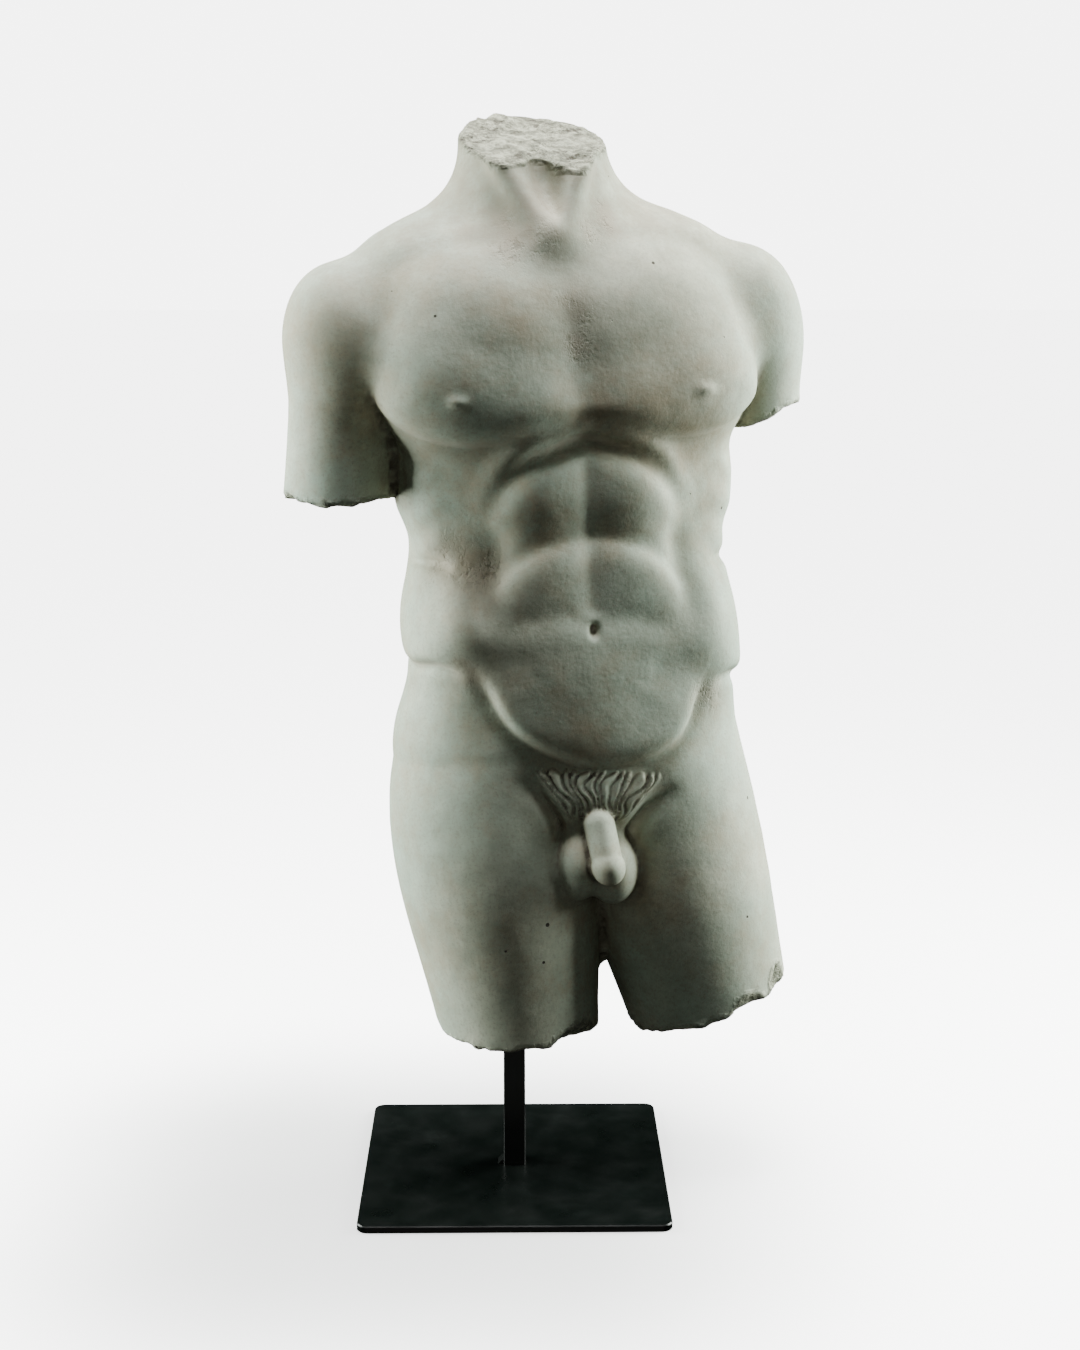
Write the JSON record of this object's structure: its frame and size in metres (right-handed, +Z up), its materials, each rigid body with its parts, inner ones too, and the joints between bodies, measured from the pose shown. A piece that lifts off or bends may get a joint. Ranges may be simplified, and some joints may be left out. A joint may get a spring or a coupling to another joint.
{
  "type": "plaster torso sculpture on a steel stand",
  "caption": "Plaster cast of a male torso broken off at neck, arms and thighs, held up by a square steel bar on a flat square plate.",
  "frame": {"origin": "centre of the steel plate's underside, on the floor", "axes": "+Z up along the steel bar, the figure faces -Y, and its own left side is towards +X"},
  "size_m": [0.4143, 0.255, 0.8654],
  "materials": {
    "plaster": "matt",
    "black_steel": "satin"
  },
  "bodies": {
    "root": {"torso": "plaster", "stem": "black_steel", "base_plate": "black_steel"}
  },
  "joints": []
}
